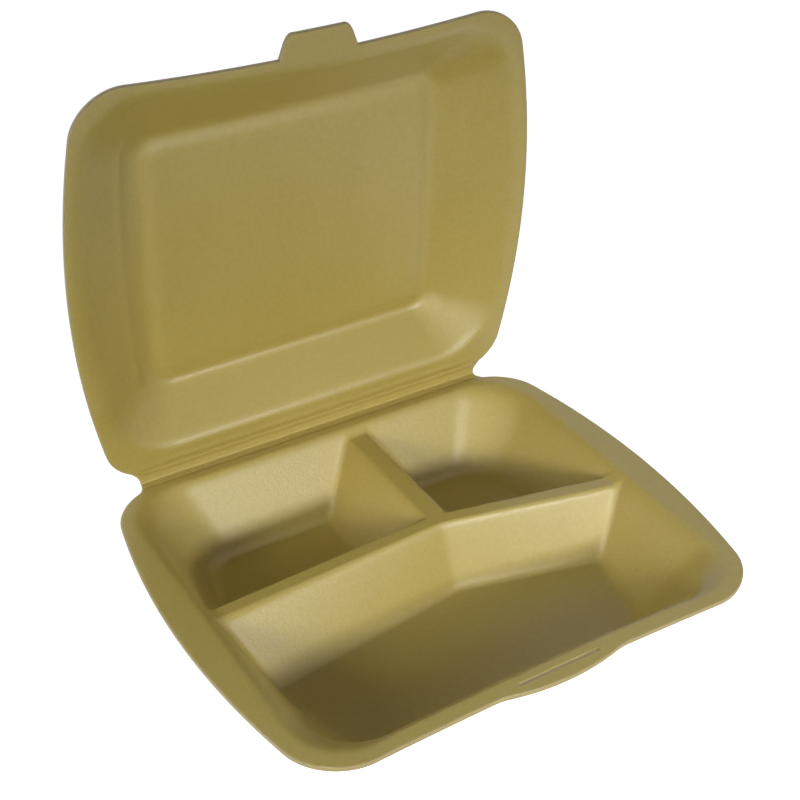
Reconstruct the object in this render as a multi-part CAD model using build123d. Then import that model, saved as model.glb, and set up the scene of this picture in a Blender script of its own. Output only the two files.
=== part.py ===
from build123d import *
from collections import namedtuple
from math import hypot, radians, tan
import os

# Foam clamshell meal box with three compartments, modelled standing with its lid open.
# Millimetres. X runs along the hinge, Y towards the hinge, Z up.
# The origin is under the middle of the front compartment, on the face that the box rests on.

# Foam sheet
sheet = 2.5
crease_sheet = 1.2

# Tray rim, seen in plan; its rear edge is measured from the line that the dividers are placed from
tray_width = 239.6
tray_rear_width = 215.2
tray_front_width = 210.6
tray_depth = 197.0
tray_rear = 99.5
tray_front_hollow = 2.4
tray_rear_corner = 28.5
tray_front_corner = 30.5

# Tray bowl
tray_height = 37.0
tray_rim_side = 5.5
tray_rim_bow = 12.5
tray_rim_rear = 6.0
tray_rim_front = 6.0
tray_side_run = 29.0
tray_rear_run = 19.5
tray_front_run = 25.0
tray_mouth_corner = 38.0
tray_floor_corner = 18.0
tray_floor_round = 5.0
tray_mouth_ease = 1.2

# Dividers, places measured from the box's middle lines
divider_drop = 4.0
divider_x = 15.0
divider_ease = 2.2
divider_corner = 6.5
short_ridge_width = 10.6
short_run = 20.0
long_ridge_width = 8.0
apex_ridge_y = 11.2
long_front_run = 12.0
long_rear_run = 16.0
left_ridge_turn = 3.1
left_foot_turn = 7.4
right_ridge_turn = 12.2
right_foot_turn = 14.2

# Lid rim, seen in plan
lid_width = 231.2
lid_rear_width = 206.0
lid_front_width = 204.8
lid_depth = 192.8
lid_front_hollow = 4.5
lid_rear_corner = 22.0
lid_front_corner = 28.0

# Lid bowl
lid_bowl_depth = 22.0
lid_rim_side = 5.5
lid_rim_rear = 12.0
lid_rim_front = 6.0
lid_rear_run = 20.5
lid_front_run = 29.1
lid_mouth_corner = 34.0
lid_mouth_ease = 1.5
lid_panel_width = 149.5
lid_panel_bow = 0.8
lid_panel_corner = 11.0
panel_border = 8.0
panel_inner_corner = 6.0
panel_rise = 2.0

# Hinge
neck = 4.0
hinge_length = 188.0
crease_gap = 0.4
closing_gap = 0.4
lid_opening = 87.0

# Latch, which stands a little off the middle
latch_x = 3.3
lip_width = 58.0
lip_reach = 4.2
lip_blend = 12.0
slot_length = 40.0
slot_width = 1.8
slot_margin = 2.8
tab_root = 36.6
tab_tip = 28.4
tab_reach = 10.5
tab_round = 5.0

# Overlap that lets joined pieces run into each other
bite = 2.0


Plan = namedtuple("Plan", "rear_half middle_half front_half rear front hollow rear_corner front_corner")


def outline(plan):
    """Face in plan: straight rear edge, bowed sides, slightly hollow front edge, round corners."""
    middle = (plan.rear + plan.front) / 2
    rear_left, rear_right = (-plan.rear_half, plan.rear), (plan.rear_half, plan.rear)
    front_left, front_right = (-plan.front_half, plan.front), (plan.front_half, plan.front)
    face = make_face(
        [
            Line(rear_left, rear_right),
            ThreePointArc(rear_right, (plan.middle_half, middle), front_right),
            ThreePointArc(front_right, (0, plan.front + plan.hollow), front_left),
            ThreePointArc(front_left, (-plan.middle_half, middle), rear_left),
        ]
    )
    face = fillet(face.vertices().group_by(Axis.Y)[-1], plan.rear_corner)
    return fillet(face.vertices().group_by(Axis.Y)[0], plan.front_corner)


def inset(plan, side, rear, front, corner):
    """The plan drawn in from its sides, rear and front, with new corners."""
    return plan._replace(
        rear_half=plan.rear_half - side,
        middle_half=plan.middle_half - side,
        front_half=plan.front_half - side,
        rear=plan.rear - rear,
        front=plan.front + front,
        rear_corner=corner,
        front_corner=corner,
    )


class Bowl:
    """Drafted bowl under a rim at Z = 0; level is the depth below the rim."""

    def __init__(self, mouth, floor, height):
        self.mouth = mouth
        self.floor = floor
        self.height = height
        runs = (mouth.middle_half - floor.middle_half, mouth.rear - floor.rear, floor.front - mouth.front)
        self.slopes = [run / height for run in runs]

    def section(self, level, wall=0.0):
        """Plan of the bowl at a level; wall is a thickness added square to the slope."""
        share = level / self.height
        plan = Plan(*[low * share + top * (1 - share) for top, low in zip(self.mouth, self.floor)])
        side, rear, front = [-wall * hypot(1, slope) for slope in self.slopes]
        plan = inset(plan, side, rear, front, plan.rear_corner + wall)
        return Pos(0, 0, -level) * outline(plan)

    def solid(self, top, bottom, wall=0.0):
        """The bowl filled from one level down to another."""
        return loft([self.section(top, wall), self.section(bottom, wall)], ruled=True)


def ease_mouth(body, length):
    """Takes off the edge where the bowl turns out into its rim."""
    rim = body.faces().sort_by(Axis.Z)[-1]
    mouth = rim.inner_wires().sort_by(SortBy.LENGTH)[-1]
    return chamfer(mouth.edges(), length)


def hinge_strip(rear):
    """Thin strip from the rim's rear edge to the crease."""
    reach = neck - crease_gap / 2
    strip = Box(hinge_length, reach + bite, crease_sheet)
    return Pos(0, rear + (reach - bite) / 2, -crease_sheet / 2) * strip


def crossing(line_point, turn, x):
    """Y at x on a line through a point, falling away from it at an angle."""
    return line_point[1] - abs(x - line_point[0]) * tan(radians(turn))


def divider_polygon(half_short, apex, rear_apex, left_turn, right_turn, reach):
    """Plan of the three dividers that meet at the apex: two long arms and one short arm."""
    front, back = (divider_x, apex), (divider_x, rear_apex)
    left, right = divider_x - half_short, divider_x + half_short
    return [
        front,
        (reach, crossing(front, right_turn, reach)),
        (reach, crossing(back, right_turn, reach)),
        (right, crossing(back, right_turn, right)),
        (right, reach),
        (left, reach),
        (left, crossing(back, left_turn, left)),
        (-reach, crossing(back, left_turn, -reach)),
        (-reach, crossing(front, left_turn, -reach)),
    ]


class Dividers:
    """Dividers between the compartments; level is the depth below the rim."""

    def __init__(self):
        half_short = short_ridge_width / 2
        rear_apex = apex_ridge_y + long_ridge_width
        self.ridge_level = divider_drop
        self.foot_level = tray_height - sheet
        self.height = self.foot_level - self.ridge_level
        reach = tray_width
        self.ridge = divider_polygon(
            half_short, apex_ridge_y, rear_apex, left_ridge_turn, right_ridge_turn, reach
        )
        self.foot = divider_polygon(
            half_short + short_run,
            apex_ridge_y - long_front_run,
            rear_apex + long_rear_run,
            left_foot_turn,
            right_foot_turn,
            reach,
        )

    def section(self, level, inset=0.0):
        """Plan of the dividers at a level, drawn in from every face by an inset."""
        share = (level - self.ridge_level) / self.height
        points = [
            (top[0] + (low[0] - top[0]) * share, top[1] + (low[1] - top[1]) * share)
            for top, low in zip(self.ridge, self.foot)
        ]
        face = make_face(Polyline(*points, close=True))
        if inset:
            face = offset(face, amount=-inset, kind=Kind.INTERSECTION)
        return Pos(0, 0, -level) * face

    def body(self):
        """Dividers from inside the floor sheet up to their eased ridges."""
        ridge = self.section(self.ridge_level, divider_ease)
        shoulder = self.section(self.ridge_level + divider_ease)
        foot = self.section(self.foot_level + sheet / 2)
        return loft([ridge, shoulder, foot], ruled=True)

    def groove(self):
        """Hollow under the dividers, one sheet thickness inside them, open below."""
        inset = sheet * hypot(1, short_run / self.height)
        top = self.ridge_level + sheet
        return loft([self.section(top, inset), self.section(tray_height + bite, inset)], ruled=True)


hinge_y = tray_rear + neck
tray_plan = Plan(
    tray_rear_width / 2,
    tray_width / 2,
    tray_front_width / 2,
    tray_rear,
    tray_rear - tray_depth,
    tray_front_hollow,
    tray_rear_corner,
    tray_front_corner,
)
lid_plan = Plan(
    lid_rear_width / 2,
    lid_width / 2,
    lid_front_width / 2,
    -neck,
    -neck - lid_depth,
    lid_front_hollow,
    lid_rear_corner,
    lid_front_corner,
)


def tray_rim():
    """Tray rim, cut square, with the latch lip in the middle of its front edge."""
    edge = tray_plan.front + tray_plan.hollow
    left, right = latch_x - lip_width / 2, latch_x + lip_width / 2
    base = edge + tray_rim_front / 2
    lip = make_face(
        [
            ThreePointArc((left, edge), (latch_x, edge - lip_reach), (right, edge)),
            Polyline((right, edge), (right, base), (left, base), (left, edge)),
        ]
    )
    face = outline(tray_plan) + lip
    face = fillet(face.vertices().sort_by(lambda vertex: abs(vertex.X - latch_x))[:2], lip_blend)
    return extrude(face, amount=-sheet)


def latch_slot():
    """Slot through the lip that the lid's tab goes down into."""
    y = tray_plan.front + tray_plan.hollow + tray_rim_front - slot_margin - slot_width / 2
    return Pos(latch_x, y, -sheet / 2) * extrude(SlotOverall(slot_length, slot_width), amount=sheet, both=True)


def tray():
    """Tray moulded from one sheet: rim, three compartments, hollow dividers, latch lip."""
    bowed = inset(tray_plan, tray_rim_side, tray_rim_rear, tray_rim_front, tray_mouth_corner)
    mouth = bowed._replace(middle_half=bowed.middle_half - tray_rim_bow)
    floor = inset(bowed, tray_side_run, tray_rear_run, tray_front_run, tray_floor_corner)
    floor_level = tray_height - sheet
    bowl = Bowl(mouth, floor, floor_level)
    outside = bowl.solid(sheet / 2, tray_height, sheet)
    outside = fillet(outside.edges().group_by(Axis.Z)[0], tray_floor_round + sheet)
    inside = bowl.solid(-bite, floor_level)
    dividers = Dividers()
    walls = dividers.body()
    hollow = inside - walls
    corners = new_edges(inside, walls, combined=hollow)
    corners = [edge for edge in corners if edge.bounding_box().size.Z > dividers.height / 2]
    hollow = fillet(corners, divider_corner)
    hollow = fillet(hollow.edges().group_by(Axis.Z)[0], tray_floor_round)
    body = tray_rim() + outside + hinge_strip(tray_rear)
    return ease_mouth(body - hollow - dividers.groove() - latch_slot(), tray_mouth_ease)


def lid_rim():
    """Lid rim, cut square, with the closing tab on its free edge."""
    edge = lid_plan.front + lid_plan.hollow
    base = edge + lid_rim_front / 2
    tip = edge - tab_reach
    tab = make_face(
        Polyline(
            (-tab_root / 2, base),
            (-tab_root / 2, edge),
            (-tab_tip / 2, tip),
            (tab_tip / 2, tip),
            (tab_root / 2, edge),
            (tab_root / 2, base),
            close=True,
        )
    )
    tab = fillet(tab.vertices().group_by(Axis.Y)[0], tab_round)
    return extrude(outline(lid_plan) + Pos(-latch_x, 0, 0) * tab, amount=-sheet)


def lid():
    """Lid moulded from one sheet, lying flat with its hinge crease at Y = 0 and its bowl down."""
    mouth = inset(lid_plan, lid_rim_side, lid_rim_rear, lid_rim_front, lid_mouth_corner)
    floor = inset(mouth, 0, lid_rear_run, lid_front_run, lid_panel_corner)._replace(
        rear_half=lid_panel_width / 2 - lid_panel_bow,
        middle_half=lid_panel_width / 2,
        front_half=lid_panel_width / 2 - lid_panel_bow,
        hollow=lid_panel_bow,
    )
    bowl = Bowl(mouth, floor, lid_bowl_depth)
    outside = bowl.solid(sheet / 2, lid_bowl_depth + sheet, sheet)
    raised = inset(floor, panel_border, panel_border, panel_border, panel_inner_corner)
    panel = loft(
        [
            Pos(0, 0, panel_rise - lid_bowl_depth) * outline(raised),
            Pos(0, 0, -lid_bowl_depth) * outline(floor),
        ],
        ruled=True,
    )
    hollow = bowl.solid(-bite, lid_bowl_depth) - panel
    body = lid_rim() + outside + hinge_strip(-neck)
    return ease_mouth(body - Pos(0, 0, -sheet) * panel - hollow, lid_mouth_ease)


rest_shift = Pos(0, tray_rear / 2, tray_height)
hinge = Pos(0, hinge_y, closing_gap / 2)
swing = Rot(180 - lid_opening, 0, 0)

base_tray = rest_shift * tray()
open_lid = rest_shift * hinge * swing * Pos(0, 0, -closing_gap / 2) * Rot(0, 0, 180) * lid()

os.makedirs("parts", exist_ok=True)
export_step(base_tray, "parts/base_tray.step")
export_step(open_lid, "parts/lid.step")
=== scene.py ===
"""Gold foam meal box standing with its lid open: tray sheet, lid sheet and creased hinge, under soft studio light."""
import math
from collections import namedtuple

import bpy
import numpy as np
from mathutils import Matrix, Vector


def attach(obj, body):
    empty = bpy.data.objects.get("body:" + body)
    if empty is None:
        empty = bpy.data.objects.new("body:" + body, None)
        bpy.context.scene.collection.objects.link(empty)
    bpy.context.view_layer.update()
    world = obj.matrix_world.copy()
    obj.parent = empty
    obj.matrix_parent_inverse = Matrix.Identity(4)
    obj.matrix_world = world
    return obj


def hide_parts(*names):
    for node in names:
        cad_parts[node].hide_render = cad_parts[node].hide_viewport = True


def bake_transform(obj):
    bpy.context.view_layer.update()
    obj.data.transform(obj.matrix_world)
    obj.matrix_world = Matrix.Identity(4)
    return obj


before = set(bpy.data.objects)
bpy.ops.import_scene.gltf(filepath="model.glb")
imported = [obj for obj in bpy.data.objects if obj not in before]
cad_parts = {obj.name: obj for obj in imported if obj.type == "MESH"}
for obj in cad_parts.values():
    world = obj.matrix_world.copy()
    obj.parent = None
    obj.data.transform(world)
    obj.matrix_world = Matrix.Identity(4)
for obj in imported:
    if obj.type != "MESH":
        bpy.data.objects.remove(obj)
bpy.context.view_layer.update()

# Sizes are in millimetres and angles in degrees; meshes are written in metres.
MM = 0.001

# Foam sheet
SHEET = 2.5
EDGE_ROUND = 0.8
CREASE_SHEET = 1.3

# Tray
TRAY_HEIGHT = 37.0
FLOOR_LEVEL = TRAY_HEIGHT - SHEET
TRAY_REAR = 99.5
TRAY_DEPTH = 197.0
TRAY_RIM_BOW = 12.5
# The front rim is a little wider than the solid's, so that the closed lid's edge has land to lie on.
FRONT_LAND = 2.5
# The wall's turn into the rim widens by SHOULDER_EXTRA at the sides, over SHOULDER_BLEND from SHOULDER_FROM outward.
SHOULDER_EXTRA, SHOULDER_FROM, SHOULDER_BLEND = 6.0, 70.0, 25.0
LATCH_X = 3.3
LIP_WIDTH, LIP_REACH = 58.0, 4.2
SLOT_LENGTH, SLOT_WIDTH, SLOT_Y = 40.0, 1.8, -92.8

# Dividers
RIDGE_LEVEL = 4.0
DIVIDER_X = 15.0
SHORT_HALF, SHORT_RUN = 5.3, 20.0
APEX_Y, LONG_WIDTH = 11.2, 8.0
LONG_FRONT_RUN, LONG_REAR_RUN = 12.0, 16.0
LEFT_RIDGE_TURN, LEFT_FOOT_TURN = 3.1, 7.4
RIGHT_RIDGE_TURN, RIGHT_FOOT_TURN = 12.2, 14.2
APEX_ROUND = 3.0

# Lid and hinge
LID_DEPTH = 22.0
LID_LENGTH = 192.8
PANEL_BORDER, PANEL_RISE, PANEL_ROUND = 8.0, 2.0, 0.3
RIB_HEIGHT, RIB_LEVEL, RIB_WIDTH = 0.5, 15.5, 1.4
RIB_FROM, RIB_BLEND = 78.0, 4.0
BEAD_HEIGHT, BEAD_Y, BEAD_WIDTH = 0.32, -9.0, 1.2
SCORE_DEPTH, SCORE_Y, SCORE_WIDTH = 0.45, -6.2, 0.9
HINGE_FADE = 12.0
TAB_ROOT, TAB_TIP, TAB_REACH = 36.0, 28.4, 10.5
TAB_ROUND, TAB_FLARE = 5.0, 1.6
NECK = 4.0
HINGE_HALF = 94.0
CLOSING_GAP = 0.4
LID_OPENING = 87.0

# Where the tray's middle and the hinge lie in the frame
MIDDLE_Y = TRAY_REAR / 2
HINGE_Y = MIDDLE_Y + TRAY_REAR + NECK
HINGE_Z = TRAY_HEIGHT + CLOSING_GAP / 2

Plan = namedtuple("Plan", "rear_half middle_half front_half rear front hollow corner_rear corner_front")
Rounds = namedtuple("Rounds", "mouth floor")


def soft_min(a, b, k):
    """Smaller of two values, with the corner between them rounded over a difference of k."""
    return np.minimum(a, b) - np.maximum(k - np.abs(a - b), 0.0) ** 2 / (4.0 * k)


def soft_max(a, b, k):
    """Larger of two values, with the corner between them rounded over a difference of k."""
    return -soft_min(-a, -b, k)


def narrowed(plan, side, rear, front, corner):
    """The plan drawn in from sides, rear and front, with new corners."""
    return plan._replace(rear_half=plan.rear_half - side, middle_half=plan.middle_half - side,
                         front_half=plan.front_half - side, rear=plan.rear - rear, front=plan.front + front,
                         corner_rear=corner, corner_front=corner)


def inside_distance(plan, x, y):
    """How far a point lies inside the plan: least distance to bowed sides, straight rear and hollow front,
    with a quarter circle of the corner's radius where a side and an end both come near."""
    share = (plan.rear - y) / (plan.rear - plan.front)
    side = (plan.rear_half * (1 - share) * (1 - 2 * share) + 4 * plan.middle_half * share * (1 - share)
            + plan.front_half * share * (2 * share - 1)) - np.abs(x)
    rear = plan.rear - y
    front = y - plan.front - plan.hollow * (1 - (x / plan.front_half) ** 2)
    end = np.minimum(rear, front)
    radius = np.maximum(np.where(rear < front, plan.corner_rear, plan.corner_front), 0.5)
    a, b = radius - side, radius - end
    return radius - np.hypot(np.maximum(a, 0), np.maximum(b, 0)) - np.minimum(np.maximum(a, b), 0)


def wall_level(mouth, floor, height, x, y):
    """Depth at which a drafted wall passes a point: the level whose plan, carried on in a straight line from
    mouth to floor, has its outline there. Found by halving the range of levels."""
    low = np.full(np.shape(x), -0.7 * height)
    high = np.full(np.shape(x), 2.2 * height)
    for _ in range(34):
        level = (low + high) / 2
        share = level / height
        plan = Plan(*[top + (base - top) * share for top, base in zip(mouth, floor)])
        inside = inside_distance(plan, x, y) > 0
        low, high = np.where(inside, level, low), np.where(inside, high, level)
    return (low + high) / 2


# A bowed side meets an end at more than a right angle, which leaves this share of a corner's radius.
BOWED = 0.735
tray_plan = Plan(rear_half=107.6, middle_half=119.8, front_half=105.3, rear=TRAY_REAR, front=TRAY_REAR - TRAY_DEPTH,
                 hollow=2.4, corner_rear=28.5 * BOWED, corner_front=30.5 * BOWED)
tray_bowed = narrowed(tray_plan, 5.5, 6.0, 6.0, 38.0 * BOWED)
tray_mouth = tray_bowed._replace(middle_half=tray_bowed.middle_half - TRAY_RIM_BOW,
                                 front=tray_bowed.front + FRONT_LAND)
tray_floor = narrowed(tray_bowed, 29.0, 19.5, 25.0, 18.0 * BOWED)
tray_rounds = Rounds(mouth=3.0, floor=5.0)
DIVIDER_ROUND, RIDGE_ROUND = 4.0, 3.0

lid_plan = Plan(rear_half=103.0, middle_half=115.6, front_half=102.4, rear=-NECK, front=-NECK - LID_LENGTH,
                hollow=4.5, corner_rear=22.0 * BOWED, corner_front=28.0 * BOWED)
lid_mouth = narrowed(lid_plan, 5.5, 12.0, 6.0, 34.0 * BOWED)
lid_floor = narrowed(lid_mouth, 0, 20.5, 29.1, 11.0)._replace(
    rear_half=73.95, middle_half=74.75, front_half=73.95, hollow=0.8)
lid_rounds = Rounds(mouth=3.0, floor=3.0)


def divider_lines(x, left_turn, right_turn):
    """How far a long divider has fallen forward at x, with the bend at the apex rounded."""
    right = soft_max(x - DIVIDER_X, 0.0, APEX_ROUND)
    left = soft_max(DIVIDER_X - x, 0.0, APEX_ROUND)
    return right * math.tan(math.radians(right_turn)) + left * math.tan(math.radians(left_turn))


def divider_depth(x, y):
    """Depth of the dividers' surface: flat ridges whose faces fall in a straight line to their feet."""
    fall = FLOOR_LEVEL - RIDGE_LEVEL
    ridge = APEX_Y - divider_lines(x, LEFT_RIDGE_TURN, RIGHT_RIDGE_TURN)
    foot = APEX_Y - divider_lines(x, LEFT_FOOT_TURN, RIGHT_FOOT_TURN)
    front = RIDGE_LEVEL + fall * (ridge - y) / (ridge - foot + LONG_FRONT_RUN)
    rear = RIDGE_LEVEL + fall * (y - ridge - LONG_WIDTH) / (foot - ridge + LONG_REAR_RUN)
    sides = RIDGE_LEVEL + fall * (np.abs(x - DIVIDER_X) - SHORT_HALF) / SHORT_RUN
    behind = soft_min(rear, sides, DIVIDER_ROUND)
    return soft_max(RIDGE_LEVEL, np.maximum(front, behind), RIDGE_ROUND)


def tray_depth(x, y):
    """Depth of the tray's upper surface below its rim: the least of wall, floor and dividers. The wall turns out
    into the rim over a soft shoulder that widens at the sides."""
    wall = wall_level(tray_mouth, tray_floor, FLOOR_LEVEL, x, y)
    sideways = np.clip((np.abs(x) - SHOULDER_FROM) / SHOULDER_BLEND, 0.0, 1.0)
    shoulder = tray_rounds.mouth + SHOULDER_EXTRA * sideways
    bowl = soft_min(soft_max(0.0, wall, shoulder), FLOOR_LEVEL, tray_rounds.floor)
    return soft_min(bowl, divider_depth(x, y), DIVIDER_ROUND)


def lid_depth(x, y):
    """Depth of the lid's inner surface below its rim: drafted wall, rounded floor, panel raised inside a sloping
    border, a faint rib down each side wall, and a soft bead and a score line along the hinge side of the rim."""
    wall = wall_level(lid_mouth, lid_floor, LID_DEPTH, x, y)
    rib = RIB_HEIGHT * np.exp(-((wall - RIB_LEVEL) / RIB_WIDTH) ** 2)
    rib = rib * np.clip((np.abs(x) - RIB_FROM) / RIB_BLEND, 0.0, 1.0)
    bowl = soft_min(wall, LID_DEPTH, lid_rounds.floor)
    border = inside_distance(lid_floor, x, y) / PANEL_BORDER
    rise = PANEL_RISE * soft_min(soft_max(border, 0.0, PANEL_ROUND), 1.0, PANEL_ROUND)
    reach = np.clip((HINGE_HALF - np.abs(x)) / HINGE_FADE, 0.0, 1.0)
    bead = BEAD_HEIGHT * np.exp(-((y - BEAD_Y) / BEAD_WIDTH) ** 2)
    score = SCORE_DEPTH * np.exp(-((y - SCORE_Y) / SCORE_WIDTH) ** 2)
    return soft_max(0.0, bowl - rise - rib, lid_rounds.mouth) + (score - bead) * reach


def lip_bulge(x):
    """How far the tray's front edge swells out at x: a shallow arch with blended ends."""
    return soft_max(0.0, LIP_REACH * (1 - (2 * (x - LATCH_X) / LIP_WIDTH) ** 2), 1.0)


def tab_bulge(x):
    """How far the lid's free edge stands out at x: a trapezium with rounded corners and flared roots."""
    slope = TAB_REACH / (TAB_ROOT - TAB_TIP) * 2
    rise = soft_min(TAB_REACH, slope * (TAB_ROOT / 2 - np.abs(x - LATCH_X)), TAB_ROUND)
    return soft_max(0.0, rise, TAB_FLARE)


def spread(low, high, count, centres, width, extra):
    """Values from low to high that crowd together near the centres: evenly spaced in the sum of a density."""
    fine = np.linspace(low, high, 4001)
    density = 1 + extra * sum(np.exp(-((fine - c) / width) ** 2) for c in centres)
    total = np.concatenate([[0], np.cumsum((density[1:] + density[:-1]) / 2)])
    return np.interp(np.linspace(0, total[-1], count), total, fine)


# A point beyond every outline, and how far down a corner's radius the grid's own corner lies.
BEYOND = 160.0
CORNER_SHARE = 1 - 0.705


def edge_at(plan, fixed, start, stop, along_x):
    """Point where a line of fixed x (or y) from start to stop leaves the plan, set in by the rim's rounding."""
    low = np.full(np.shape(fixed), float(start))
    high = np.full(np.shape(fixed), float(stop))
    for _ in range(40):
        mid = (low + high) / 2
        x, y = (mid, fixed) if along_x else (fixed, mid)
        inside = inside_distance(plan, x, y) > EDGE_ROUND
        low, high = np.where(inside, mid, low), np.where(inside, high, mid)
    return (low + high) / 2


def patch(front, rear, left, right, across, along):
    """Surface patch between four edges: the front and rear rows mixed along, plus what the side edges add."""
    w, c = along[:, None, None], across[None, :, None]
    rows = (1 - w) * front[None] + w * rear[None]
    lean_left = left[:, None] - ((1 - w) * front[:1] + w * rear[:1])
    lean_right = right[:, None] - ((1 - w) * front[-1:] + w * rear[-1:])
    return rows + (1 - c) * lean_left + c * lean_right


def plan_grid(plan, middle_row, columns, front_rows, rear_rows, bulge, bulge_rows):
    """Grid over the plan whose columns run front to rear and whose rows bend from the front edge, through a
    chosen middle row, to the rear edge; the first rows swell out with the bulge of the front edge."""
    front_corner = plan.corner_front * CORNER_SHARE
    front_x = float(edge_at(plan, np.array([plan.front + front_corner]), 0, BEYOND, True)[0])
    rear_corner = plan.corner_rear * CORNER_SHARE
    rear_x = float(edge_at(plan, np.array([plan.rear - rear_corner]), 0, BEYOND, True)[0])
    middle_y = middle_row(columns)
    half = np.abs(columns[[0, -1]]).mean()

    def end_row(limit, start, stop):
        x = columns * (1 - (1 - limit / half) * (columns / half) ** 2)
        return np.column_stack([x, edge_at(plan, x, start, stop, False)])

    centre = (plan.front + plan.rear) / 2
    front_edge = end_row(front_x, centre, plan.front - 5)
    rear_edge = end_row(rear_x, centre, plan.rear + 5)
    middle = np.column_stack([columns, middle_y])

    def side(y, sign):
        return np.column_stack([edge_at(plan, y, 0, sign * BEYOND, True), y])

    across = (columns - columns[0]) / (columns[-1] - columns[0])

    def half_grid(first, last, along):
        left = side(first[0, 1] + (last[0, 1] - first[0, 1]) * along, -1)
        right = side(first[-1, 1] + (last[-1, 1] - first[-1, 1]) * along, 1)
        return patch(first, last, left, right, across, along)

    front_half = half_grid(front_edge, middle, front_rows)
    rear_half = half_grid(middle, rear_edge, rear_rows)
    grid = np.concatenate([front_half, rear_half[1:]])
    fade = np.clip(1 - np.arange(len(grid)) / bulge_rows, 0, 1)[:, None]
    grid[..., 1] -= bulge(grid[..., 0]) * fade
    return grid


def sheet_skins(grid, depth):
    """Upper and lower skin over a grid: the height from the depth, then one sheet thickness along the normal."""
    x, y = grid[..., 0], grid[..., 1]
    h = 0.05
    z = -depth(x, y)
    slope_x = (depth(x + h, y) - depth(x - h, y)) / (2 * h)
    slope_y = (depth(x, y + h) - depth(x, y - h)) / (2 * h)
    normal = np.stack([slope_x, slope_y, np.ones_like(x)], axis=-1)
    normal /= np.linalg.norm(normal, axis=-1, keepdims=True)
    top = np.stack([x, y, z], axis=-1)
    return top, top - SHEET * normal


def rim_loop(skin):
    """Points once round the edge of a skin, anticlockwise seen from above."""
    return np.concatenate([skin[0, :-1], skin[:-1, -1], skin[-1, :0:-1], skin[:0:-1, 0]])


def cut_edge(loop):
    """Rounded cut edge: a squarish half oval carried round the rim, outward and down by the sheet's thickness."""
    tangent = np.roll(loop, -1, axis=0) - np.roll(loop, 1, axis=0)
    outward = np.column_stack([tangent[:, 1], -tangent[:, 0], np.zeros(len(loop))])
    outward /= np.linalg.norm(outward, axis=1, keepdims=True)
    turn = np.linspace(0, math.pi, 9)[1:-1]
    out = EDGE_ROUND * np.sin(turn) ** 0.6
    down = SHEET / 2 * (1 - np.sign(np.cos(turn)) * np.abs(np.cos(turn)) ** 0.7)
    return loop[None] + out[:, None, None] * outward[None] - down[:, None, None] * np.array([0, 0, 1.0])


def open_slot(top, bottom):
    """Opens a window of the grid as the latch slot: its ring of points goes onto a long shape with round ends.
    Returns the window's first and last row and column."""
    half = SLOT_LENGTH / 2
    centre = int(np.abs(top[0, :, 0] - LATCH_X).argmin())
    row_y = top[:, centre, 1]
    first, last = (int(np.abs(row_y - y).argmin()) for y in (SLOT_Y - SLOT_WIDTH / 2, SLOT_Y + SLOT_WIDTH / 2))
    last = max(last, first + 2)
    column_x = top[first, :, 0]
    left, right = (int(np.abs(column_x - x).argmin()) for x in (LATCH_X - half, LATCH_X + half))
    x = np.linspace(-half, half, right - left + 1)
    v = np.linspace(-1, 1, last - first + 1)
    bow = SLOT_WIDTH / 2 * np.sqrt(np.clip(1 - v ** 2, 0, 1))
    for skin in (top, bottom):
        window = skin[first:last + 1, left:right + 1]
        window[..., 1] = SLOT_Y + v[:, None] * SLOT_WIDTH / 2
        window[..., 0] = LATCH_X + x[None] * ((half - SLOT_WIDTH / 2 + bow) / half)[:, None]
    return first, last, left, right


def quads(rows):
    """Faces of a grid of point numbers."""
    return np.stack([rows[:-1, :-1], rows[:-1, 1:], rows[1:, 1:], rows[1:, :-1]], axis=-1).reshape(-1, 4)


def ring_faces(first, second):
    """Faces between two closed rings of point numbers."""
    return np.stack([first, second, np.roll(second, -1), np.roll(first, -1)], axis=-1)


def make_piece(name, points, faces, material, edge_share):
    """Mesh object from points in millimetres and quads, smooth, with the share of cut edge kept on each point."""
    used, faces = np.unique(faces, return_inverse=True)
    mesh = bpy.data.meshes.new(name)
    mesh.from_pydata((points[used] * MM).tolist(), [], faces.reshape(-1, 4).tolist())
    mesh.polygons.foreach_set("use_smooth", np.ones(len(mesh.polygons), bool))
    mesh.attributes.new("cut_edge", "FLOAT", "POINT").data.foreach_set("value", edge_share[used].astype(np.float32))
    mesh.set_sharp_from_angle(angle=math.radians(50))
    mesh.materials.append(material)
    piece = bpy.data.objects.new(name, mesh)
    bpy.context.collection.objects.link(piece)
    return piece


def foam_sheet(name, grid, depth, place, material, slotted=False):
    """A moulded sheet: upper skin, lower skin, cut edge round the rim and, on the tray, the slot's wall."""
    top, bottom = sheet_skins(grid, depth)
    count = top.shape[0] * top.shape[1]
    upper = np.arange(count).reshape(top.shape[:2])
    lower = upper + count
    keep = np.ones((top.shape[0] - 1, top.shape[1] - 1), bool)
    walls = []
    if slotted:
        first, last, left, right = open_slot(top, bottom)
        keep[first:last, left:right] = False
        window = np.s_[first:last + 1, left:right + 1]
        walls.append(ring_faces(rim_loop(lower[window]), rim_loop(upper[window])))
    edge = cut_edge(rim_loop(top))
    rings = [rim_loop(upper)]
    rings += [2 * count + i * edge.shape[1] + np.arange(edge.shape[1]) for i in range(len(edge))]
    rings += [rim_loop(lower)]
    walls += [ring_faces(a, b) for a, b in zip(rings[:-1], rings[1:])]
    faces = np.concatenate([quads(upper)[keep.ravel()], quads(lower)[keep.ravel()][:, ::-1], *walls])
    points = np.concatenate([top.reshape(-1, 3), bottom.reshape(-1, 3), edge.reshape(-1, 3)])
    share = np.zeros(len(points))
    share[2 * count:] = 1.0
    return make_piece(name, place(points), faces, material, share)


def in_tray(points):
    """Tray points, made about the tray's middle under its rim, put in the frame."""
    return points + np.array([0, MIDDLE_Y, TRAY_HEIGHT])


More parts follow.
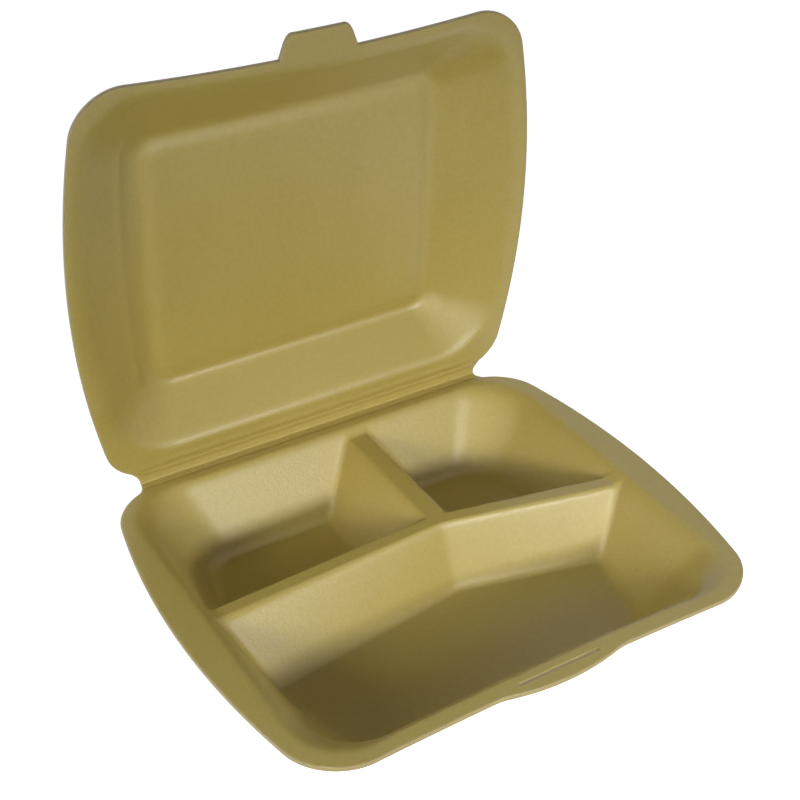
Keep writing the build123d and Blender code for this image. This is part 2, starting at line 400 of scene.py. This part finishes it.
def in_lid(points):
    """Lid points, made over the tray's plan with the rim up, turned round the hinge to the open pose."""
    swing = math.radians(180 - LID_OPENING)
    x, y, z = -points[:, 0], -points[:, 1], points[:, 2] - CLOSING_GAP / 2
    c, s = math.cos(swing), math.sin(swing)
    return np.column_stack([x, HINGE_Y + y * c - z * s, HINGE_Z + y * s + z * c])


def tray_sheet(material):
    """The tray, with its rows bent along the long dividers."""
    columns = spread(-119.0, 119.0, 228, (DIVIDER_X - SHORT_HALF, DIVIDER_X + SHORT_HALF), 4.0, 0.8)

    def middle_row(x):
        return APEX_Y + LONG_WIDTH / 2 - divider_lines(x, LEFT_RIDGE_TURN, RIGHT_RIDGE_TURN)

    front_rows = spread(0, 1, 114, (0.0, 0.03, 0.96, 1.0), 0.05, 0.5)
    rear_rows = spread(0, 1, 86, (0.0, 0.05), 0.05, 0.5)
    columns[0] = edge_at(tray_plan, middle_row(columns[:1]), 0, -BEYOND, True)[0]
    columns[-1] = edge_at(tray_plan, middle_row(columns[-1:]), 0, BEYOND, True)[0]
    grid = plan_grid(tray_plan, middle_row, columns, front_rows, rear_rows, lip_bulge, 8)
    return foam_sheet("tray_foam", grid, tray_depth, in_tray, material, slotted=True)


def lid_sheet(material):
    """The lid, made flat with the rim up and turned into its open place."""
    centre = (lid_plan.front + lid_plan.rear) / 2
    tab = -LATCH_X
    columns = spread(-114.6, 114.6, 214, (tab - TAB_ROOT / 2 + 2, tab + TAB_ROOT / 2 - 2), 5.0, 1.6)
    columns[0] = edge_at(lid_plan, np.array([centre]), 0, -BEYOND, True)[0]
    columns[-1] = edge_at(lid_plan, np.array([centre]), 0, BEYOND, True)[0]
    front_rows = np.linspace(0, 1, 93)
    rear_rows = spread(0, 1, 93, (0.96,), 0.04, 1.5)
    grid = plan_grid(lid_plan, lambda x: np.full(np.shape(x), centre), columns, front_rows, rear_rows,
                     lambda x: tab_bulge(-x), 5)
    return foam_sheet("lid_foam", grid, lid_depth, in_lid, material)


def hinge_strip(material):
    """Creased strip between the rims: a thin section that turns the corner round the hinge line, carried along it."""
    lean = math.radians(LID_OPENING)
    along_lid = np.array([-math.cos(lean), math.sin(lean)])
    off_lid = np.array([math.sin(lean), math.cos(lean)])
    middle = CLOSING_GAP / 2 + 0.25 + CREASE_SHEET / 2
    reach = np.linspace(6.0, 1.6, 12)
    tray_part = np.column_stack([-reach, np.full(12, -middle)])
    lid_part = reach[::-1, None] * along_lid + middle * off_lid
    corner = np.array([middle, -middle])
    t = np.linspace(0, 1, 14)[1:-1, None]
    bend = (1 - t) ** 2 * tray_part[-1] + 2 * t * (1 - t) * corner + t ** 2 * lid_part[0]
    line = np.concatenate([tray_part, bend, lid_part])
    tangent = np.gradient(line, axis=0)
    normal = np.column_stack([-tangent[:, 1], tangent[:, 0]])
    normal /= np.linalg.norm(normal, axis=1, keepdims=True)
    run = np.concatenate([[0], np.cumsum(np.linalg.norm(np.diff(line, axis=0), axis=1))])
    crease = sum(np.exp(-((run - c) / 0.45) ** 2) for c in (3.0, run[-1] / 2, run[-1] - 3.0))
    thick = CREASE_SHEET / 2 * (1 - 0.35 * np.minimum(crease, 1))
    loop = np.concatenate([line + thick[:, None] * normal, (line - thick[:, None] * normal)[::-1]])
    across = np.sin(np.linspace(-math.pi / 2, math.pi / 2, 81))
    closing = np.sqrt(np.clip(HINGE_HALF * (1 - np.abs(across)) / 0.7, 0.02, 1))
    centre_line = np.concatenate([line, line[::-1]])
    section = centre_line[None] + (loop - centre_line)[None] * closing[:, None, None]
    flare = HINGE_HALF - 1.5 + 3.5 * (2 * run / run[-1] - 1) ** 2
    x = across[:, None] * np.concatenate([flare, flare[::-1]])[None]
    points = np.concatenate([x[..., None], section], axis=2)
    points = points + np.array([0, HINGE_Y, HINGE_Z])
    number = np.arange(points.shape[0] * points.shape[1]).reshape(points.shape[:2])
    skin = [ring_faces(a, b) for a, b in zip(number[:-1], number[1:])]
    half = len(line)
    caps = [quads(np.stack([ring[:half], ring[:half - 1:-1]])) for ring in (number[0], number[-1])]
    faces = np.concatenate([*skin, caps[0], caps[1][:, ::-1]])
    share = np.zeros(number.size)
    return make_piece("hinge_strip", points.reshape(-1, 3), faces, material, share)


def foam_material():
    """Gold foam sheet: soft cloudy colour, fine closed cells as bump, a broad pearl gloss and a duller cut edge."""
    material = bpy.data.materials.new("gold_foam")
    material.use_nodes = True
    nodes, links = material.node_tree.nodes, material.node_tree.links
    shader = nodes["Principled BSDF"]
    shader.inputs["Specular IOR Level"].default_value = 0.5
    shader.inputs["Coat Weight"].default_value = 0.6
    shader.inputs["Coat Roughness"].default_value = 0.41
    place = nodes.new("ShaderNodeTexCoord").outputs["Object"]

    def texture(kind, scale, **values):
        node = nodes.new(kind)
        links.new(place, node.inputs["Vector"])
        node.inputs["Scale"].default_value = scale
        for key, value in values.items():
            node.inputs[key].default_value = value
        return node

    def mixed(factor, first, second):
        node = nodes.new("ShaderNodeMix")
        node.data_type = "RGBA"
        links.new(factor, node.inputs["Factor"])
        for key, value in (("A", first), ("B", second)):
            socket = next(s for s in node.inputs if s.name == key and s.type == "RGBA")
            if isinstance(value, tuple):
                socket.default_value = value
            else:
                links.new(value, socket)
        return next(s for s in node.outputs if s.type == "RGBA")

    cloud = texture("ShaderNodeTexNoise", 22.0, Detail=3.0, Roughness=0.55)
    fleck = texture("ShaderNodeTexNoise", 420.0, Detail=2.0, Roughness=0.6)
    cells = texture("ShaderNodeTexVoronoi", 820.0)
    colour = mixed(cloud.outputs["Fac"], (0.415, 0.318, 0.064, 1), (0.465, 0.365, 0.083, 1))
    dusting = nodes.new("ShaderNodeMapRange")
    dusting.inputs["From Min"].default_value = 0.35
    dusting.inputs["From Max"].default_value = 0.75
    dusting.inputs["To Max"].default_value = 0.22
    links.new(fleck.outputs["Fac"], dusting.inputs["Value"])
    colour = mixed(dusting.outputs["Result"], colour, (0.56, 0.46, 0.20, 1))
    edge = nodes.new("ShaderNodeAttribute")
    edge.attribute_name = "cut_edge"
    colour = mixed(edge.outputs["Fac"], colour, (0.33, 0.26, 0.085, 1))
    links.new(colour, shader.inputs["Base Color"])
    gloss = nodes.new("ShaderNodeMapRange")
    gloss.inputs["To Min"].default_value = 0.38
    gloss.inputs["To Max"].default_value = 0.48
    links.new(cloud.outputs["Fac"], gloss.inputs["Value"])
    links.new(gloss.outputs["Result"], shader.inputs["Roughness"])
    bump = nodes.new("ShaderNodeBump")
    bump.inputs["Strength"].default_value = 0.16
    bump.inputs["Distance"].default_value = 0.0004
    links.new(cells.outputs["Distance"], bump.inputs["Height"])
    links.new(bump.outputs["Normal"], shader.inputs["Normal"])
    return material


def studio():
    """White floor and surround for the camera, soft ambient light for everything else, and soft lamps."""
    world = bpy.data.worlds.new("studio")
    bpy.context.scene.world = world
    world.use_nodes = True
    nodes, links = world.node_tree.nodes, world.node_tree.links
    background = nodes["Background"]
    background.inputs["Color"].default_value = (1, 1, 1, 1)
    strength = seen_directly(nodes, links, 0.03, 1.0)
    links.new(strength, background.inputs["Strength"])

    bpy.ops.mesh.primitive_plane_add(size=6.0)
    floor = bpy.context.object
    floor.name = "floor"
    paint = bpy.data.materials.new("white_floor")
    paint.use_nodes = True
    nodes, links = paint.node_tree.nodes, paint.node_tree.links
    shader = nodes["Principled BSDF"]
    shader.inputs["Base Color"].default_value = (0.8, 0.8, 0.8, 1)
    shader.inputs["Roughness"].default_value = 0.9
    shader.inputs["Emission Color"].default_value = (1, 1, 1, 1)
    links.new(seen_directly(nodes, links, 0.0, 0.9), shader.inputs["Emission Strength"])
    floor.data.materials.append(paint)

    lamp("front_softbox", (0.10, -0.75, 0.31), (0.05, 0.06, 0.015), 0.40, 0.11, 0.38, 50)
    lamp("corner_softbox", (-0.58, -0.50, 0.32), (0.04, 0.07, 0.015), 0.35, 0.14, 0.23, 50)
    lamp("left_softbox", (-0.75, 0.20, 0.30), (0.05, 0.10, 0.02), 0.4, 0.3, 0.22, 60)
    lamp("left_strip", (-0.95, -0.55, 0.30), (0.0, 0.10, 0.03), 0.6, 0.3, 0.7, 180)
    lamp("top_fill", (0.15, 0.0, 1.5), (0.0, 0.08, 0.05), 1.2, 1.2, 0.2, 180)
    lamp("rear_fill", (-0.1, 1.5, 0.6), (0.0, 0.15, 0.10), 1.0, 1.0, 4.0, 180)


def seen_directly(nodes, links, otherwise, seen):
    """A value that is one number for camera, glossy and transmission rays and another for all others."""
    path = nodes.new("ShaderNodeLightPath")
    total = path.outputs["Is Camera Ray"]
    for name in ("Is Glossy Ray", "Is Transmission Ray"):
        both = nodes.new("ShaderNodeMath")
        both.operation = "MAXIMUM"
        links.new(total, both.inputs[0])
        links.new(path.outputs[name], both.inputs[1])
        total = both.outputs[0]
    scale = nodes.new("ShaderNodeMapRange")
    scale.inputs["To Min"].default_value = otherwise
    scale.inputs["To Max"].default_value = seen
    links.new(total, scale.inputs["Value"])
    return scale.outputs["Result"]


def lamp(name, place, target, width, height, power, spread_angle):
    """Rectangular soft lamp at a place, turned to a target, its light held within an angle."""
    light = bpy.data.lights.new(name, "AREA")
    light.shape = "RECTANGLE"
    light.size, light.size_y = width, height
    light.energy = power
    light.spread = math.radians(spread_angle)
    holder = bpy.data.objects.new(name, light)
    holder.location = place
    holder.rotation_euler = (Vector(target) - Vector(place)).to_track_quat("-Z", "Y").to_euler()
    bpy.context.collection.objects.link(holder)


def camera():
    """Camera at the photograph's viewing angle: 31 degrees left of the front and 34 degrees up."""
    azimuth, elevation, distance = math.radians(-31.15), math.radians(33.84), 0.6843
    target = Vector((0.03000, 0.12368, 0.05868))
    level = math.cos(elevation)
    back = Vector((math.sin(azimuth) * level, -math.cos(azimuth) * level, math.sin(elevation)))
    data = bpy.data.cameras.new("camera")
    data.sensor_width = 36.0
    data.sensor_fit = "HORIZONTAL"
    data.lens = 64.5
    holder = bpy.data.objects.new("camera", data)
    holder.location = target + back * distance
    holder.rotation_euler = (-back).to_track_quat("-Z", "Y").to_euler()
    bpy.context.collection.objects.link(holder)
    bpy.context.scene.camera = holder


bpy.context.scene.view_settings.view_transform = "Standard"
camera()
studio()
foam = foam_material()
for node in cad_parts.values():
    node.data.materials.clear()
    node.data.materials.append(foam)

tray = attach(tray_sheet(foam), "tray_body")
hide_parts("base_tray")
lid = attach(lid_sheet(foam), "lid_body")
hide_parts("lid")
strip = hinge_strip(foam)
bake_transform(strip)
